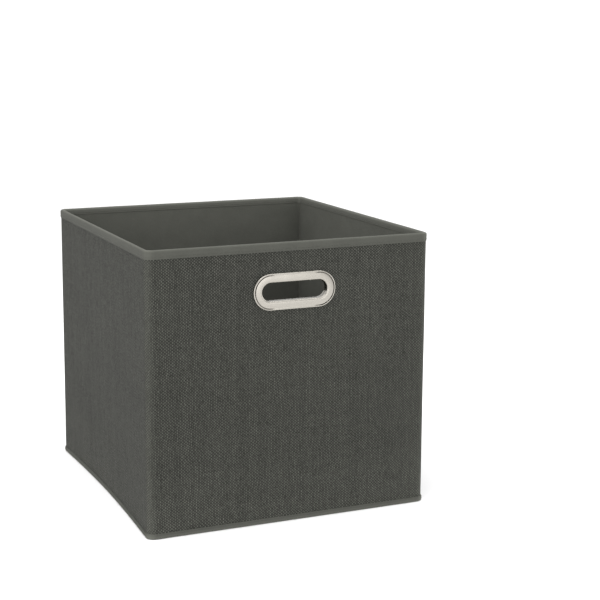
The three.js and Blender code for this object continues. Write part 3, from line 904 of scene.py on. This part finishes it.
def wall_stitches():
    rows = [
        ("rim_stitches_outside", (0.0, OUTER_RIM_SEAM), (-1, 0), "top_stitching_outside"),
        ("rim_stitches_inside", (RIM_THICKNESS, INNER_RIM_SEAM), (1, 0), "top_stitching_inside"),
        ("foot_stitches", (-0.2 * MM, FOOT_SEAM), (-1, 0), "bottom_stitching"),
    ]
    for name, place, facing, node in rows:
        finished(stitches(name, WALLS, place, facing), THREAD_LOOK, "thread", "bin", node)


# ------------------------------------------------------------------ eyelet


def pressed_section(groove, groove_floor, bead):
    """The eyelet front's closed section, as (offset from the hole's edge, y) points. It runs from the mouth
    over the flat face, the groove and the outer bead, and back under them to the barrel's rolled end. The
    arguments are the depths of the groove's two sides and floor, in millimetres."""
    front = EYELET_LOW.y
    seat = front + 2 * MM
    back = EYELET_HIGH.y
    roll = back - EYELET_SHEET
    sheet = EYELET_SHEET / MM
    flange = EYELET_FLANGE / MM

    def at(offset, depth):
        """A point at an offset from the hole's edge and a depth behind the front, both in millimetres."""
        return (offset * MM, front + depth * MM)

    mouth = at(0, 1.8)
    face_start = at(2.2, 0)
    face_end = at(6.95, 0.25)
    bead_start = at(8.0, bead)
    bead_top = at(8.35, 0.1)
    flange_edge = at(flange, 1.4)
    line = [mouth]
    line += quadratic(mouth, at(0, 0), face_start, 10)
    line += quadratic(face_start, at(5.5, 0), face_end, 8)
    line += [at(7.1, groove), at(7.85, groove_floor), bead_start]
    line += quadratic(bead_start, at(8.05, 0.1), bead_top, 4)
    line += quadratic(bead_top, at(flange, 0.1), flange_edge, 8)

    under_face = at(7.2, 1.95)
    barrel_bend = at(2.4, sheet)
    line += [(EYELET_FLANGE, seat), (EYELET_FLANGE - EYELET_SHEET, seat), at(8.1, 1.95), under_face]
    line += quadratic(under_face, at(5.5, sheet), barrel_bend, 6)
    line += quadratic(barrel_bend, at(sheet, sheet), at(sheet, 2.4), 6)

    roll_start = (1.5 * MM, roll)
    roll_end = (1.5 * MM, back)
    lip = (EYELET_SHEET, back)
    line += [(EYELET_SHEET, roll), roll_start]
    line += quadratic(roll_start, (2.2 * MM, (roll + back) / 2), roll_end, 6)
    line += [lip]
    line += quadratic(lip, (0, back), (0, roll), 6)
    return np.array(line)


def eyelet():
    """The pressed front with its barrel, and the washer that the barrel is rolled over. The groove round
    the front is deep at the round ends and fades out along the runs."""
    ends = pressed_section(groove=1.5, groove_floor=1.55, bead=0.6)
    runs = pressed_section(groove=0.28, groove_floor=0.25, bead=0.18)
    front_piece = hole_ring("eyelet_front_pressed", ends, runs)
    finished(front_piece, NICKEL_LOOK, "nickel", "bin", "eyelet_front")

    low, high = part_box("eyelet_back")
    reach = (high.z - low.z) / 2 - HOLE_RADIUS
    inner = EYELET_SHEET + EYELET_CLEARANCE
    half = (high.y - low.y) / 2
    section = [(inner, low.y), (reach - half, low.y)]
    section += arc((reach - half, low.y + half), half, -90, 90, 10)[1:]
    section += [(inner, high.y)]
    washer = hole_ring("eyelet_back_washer", np.array(section))
    finished(washer, NICKEL_LOOK, "nickel", "bin", "eyelet_back")


# ------------------------------------------------------------------ loose base board


def cover_relief(x, y, inset):
    """The glue under the upper cover leaves it slightly wavy away from its edges."""
    away = np.clip((inset - 2 * MM) / (30 * MM), 0, 1)
    waves = np.sin(x / (31 * MM) + 1.3) * np.sin(y / (43 * MM) + 0.4) + np.sin((x + y) / (57 * MM))
    return 0.12 * MM * away * waves


def base_board():
    """The loose board's two cover cloths. The upper one is turned down round the board's edges."""
    insets = np.linspace(6 * MM, 138 * MM, 23)
    low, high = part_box("base_cover_top")
    fold_z = high.z - BASE_FOLD
    line = [(0, low.z), (0, fold_z)]
    line += arc((BASE_FOLD, fold_z), BASE_FOLD, 180, 90, 5)[1:]
    line += [(inset, high.z) for inset in insets]
    columns = BASE.columns(BASE_STEP, BASE_CORNER_STEPS)
    top = spread_sheet("base_cover_top_cloth", BASE, line, COVER, columns, cover_relief)
    finished(top, LINING_LOOK, "lining", "base_board", "base_cover_top")

    low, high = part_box("base_cover_bottom")
    line = [(0, high.z)] + [(inset, high.z) for inset in insets[::3]]
    columns = BASE.columns(2 * CLOTH_STEP, BASE_CORNER_STEPS)
    bottom = spread_sheet("base_cover_bottom_cloth", BASE, line, COVER, columns)
    finished(bottom, LINING_LOOK, "lining", "base_board", "base_cover_bottom")


def base_stitches():
    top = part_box("base_cover_top")[1].z
    row = stitches("base_stitches", BASE, (BASE_SEAM_INSET, top), (0, 1))
    finished(row, THREAD_LOOK, "thread", "base_board", "base_stitching")


def boards():
    for name in WALL_BOARDS + ["base_board_core"]:
        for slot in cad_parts[name].material_slots:
            slot.material = GREYBOARD_LOOK


# ------------------------------------------------------------------ studio

CAMERA_PLACE = (-0.564, -1.4129, 0.5121)
CAMERA_TURN = math.radians(22.02)
CAMERA_TILT = math.radians(9.12)
CAMERA_LENS = 83.93
CAMERA_SENSOR = 36
CAMERA_SHIFT = 0.1
CAMERA_REACH = 100

# Soft lights, each facing the bin: name, place, side in metres and power in watts.
LIGHTS = [
    ("key_left", (-1.4, -1.2, 0.5), 0.9, 4.7),
    ("fill_right", (1.5, -0.5, 0.5), 0.8, 5.5),
    ("fill_front", (0.2, -1.7, 0.2), 1.0, 4.2),
    ("overhead", (-0.5, -0.15, 1.75), 1.2, 19.2),
    ("overhead_right", (0.6, -0.3, 1.6), 0.6, 4),
]
SKY_STRENGTH = 1.15
STUDIO_RADIUS = 60


def camera():
    data = bpy.data.cameras.new("camera")
    data.lens = CAMERA_LENS
    data.sensor_width = CAMERA_SENSOR
    data.shift_x = CAMERA_SHIFT
    data.shift_y = -CAMERA_SHIFT
    data.clip_end = CAMERA_REACH
    eye = bpy.data.objects.new("camera", data)
    eye.location = CAMERA_PLACE
    eye.rotation_euler = (math.pi / 2 - CAMERA_TILT, 0, -CAMERA_TURN)
    bpy.context.scene.collection.objects.link(eye)
    bpy.context.scene.camera = eye


def area_light(name, place, size, power):
    """A square soft light that faces the middle of the bin."""
    data = bpy.data.lights.new(name, "AREA")
    data.shape = "SQUARE"
    data.size = size
    data.energy = power
    light = bpy.data.objects.new(name, data)
    light.visible_camera = False
    light.location = place
    towards = Vector((0, 0, HEIGHT / 2)) - light.location
    light.rotation_euler = towards.to_track_quat("-Z", "Y").to_euler()
    bpy.context.scene.collection.objects.link(light)


def studio():
    world = bpy.data.worlds.new("studio")
    world.use_nodes = True
    background = next(n for n in world.node_tree.nodes if n.type == "BACKGROUND")
    background.inputs["Color"].default_value = (1, 1, 1, 1)
    background.inputs["Strength"].default_value = SKY_STRENGTH
    bpy.context.scene.world = world
    bpy.context.scene.view_settings.view_transform = "Standard"
    for name, place, size, power in LIGHTS:
        area_light(name, place, size, power)

    work = bmesh.new()
    bmesh.ops.create_circle(work, cap_ends=True, segments=96, radius=STUDIO_RADIUS)
    mesh = bpy.data.meshes.new("studio_floor")
    work.to_mesh(mesh)
    work.free()
    floor = bpy.data.objects.new("studio_floor", mesh)
    mesh.materials.append(floor_material())
    bpy.context.scene.collection.objects.link(floor)


camera()
studio()
wall_stitches()
outer_cloth()
lining_cloth()
rim_tape()
foot_tape()
floor_cloth()
eyelet()
base_stitches()
base_board()
boards()
